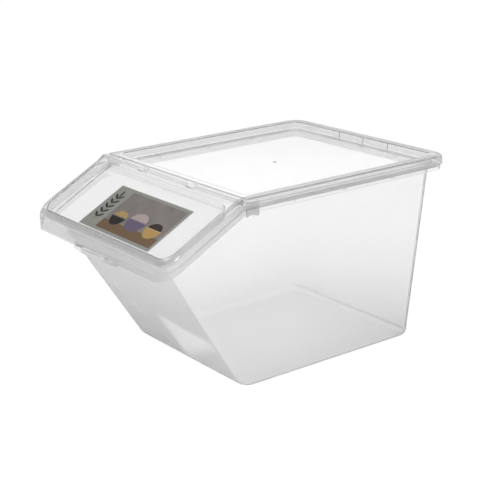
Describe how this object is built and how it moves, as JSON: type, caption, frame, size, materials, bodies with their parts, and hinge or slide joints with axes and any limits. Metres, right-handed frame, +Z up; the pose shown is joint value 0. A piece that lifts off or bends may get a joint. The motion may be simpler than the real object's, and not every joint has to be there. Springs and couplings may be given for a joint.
{
  "type": "tilt-front storage box",
  "caption": "Clear plastic food or household storage box with a slanted front, a lift-off recessed lid and a hinged front flap that carries a label card.",
  "frame": {"origin": "on the ground, under the middle of the whole box", "axes": "+X to the box's right as seen from its front, -Y towards its slanted front and flap, +Z up"},
  "size_m": [0.39, 0.5597, 0.315],
  "materials": {
    "tub_plastic": "clear injection-moulded polypropylene, smooth and slightly hazy",
    "lid_plastic": "clear injection-moulded polypropylene, polished tray",
    "flap_plastic": "clear injection-moulded polypropylene, smooth",
    "printed_card": null
  },
  "bodies": {
    "box": {"tub": "tub_plastic"},
    "lid": {"top_lid": "lid_plastic"},
    "flap": {"front_flap": "flap_plastic", "label_card": "printed_card"}
  },
  "joints": [
    {"name": "lid_lift", "type": "slide", "parent": "box", "child": "lid", "axis": [0, 0, 1], "range_m": [0, 0.1]},
    {"name": "flap_hinge", "type": "hinge", "parent": "lid", "child": "flap", "pos_m": [0, -0.13513, 0.3099], "axis": [-1, 0, 0], "range_deg": [0, 130]}
  ]
}
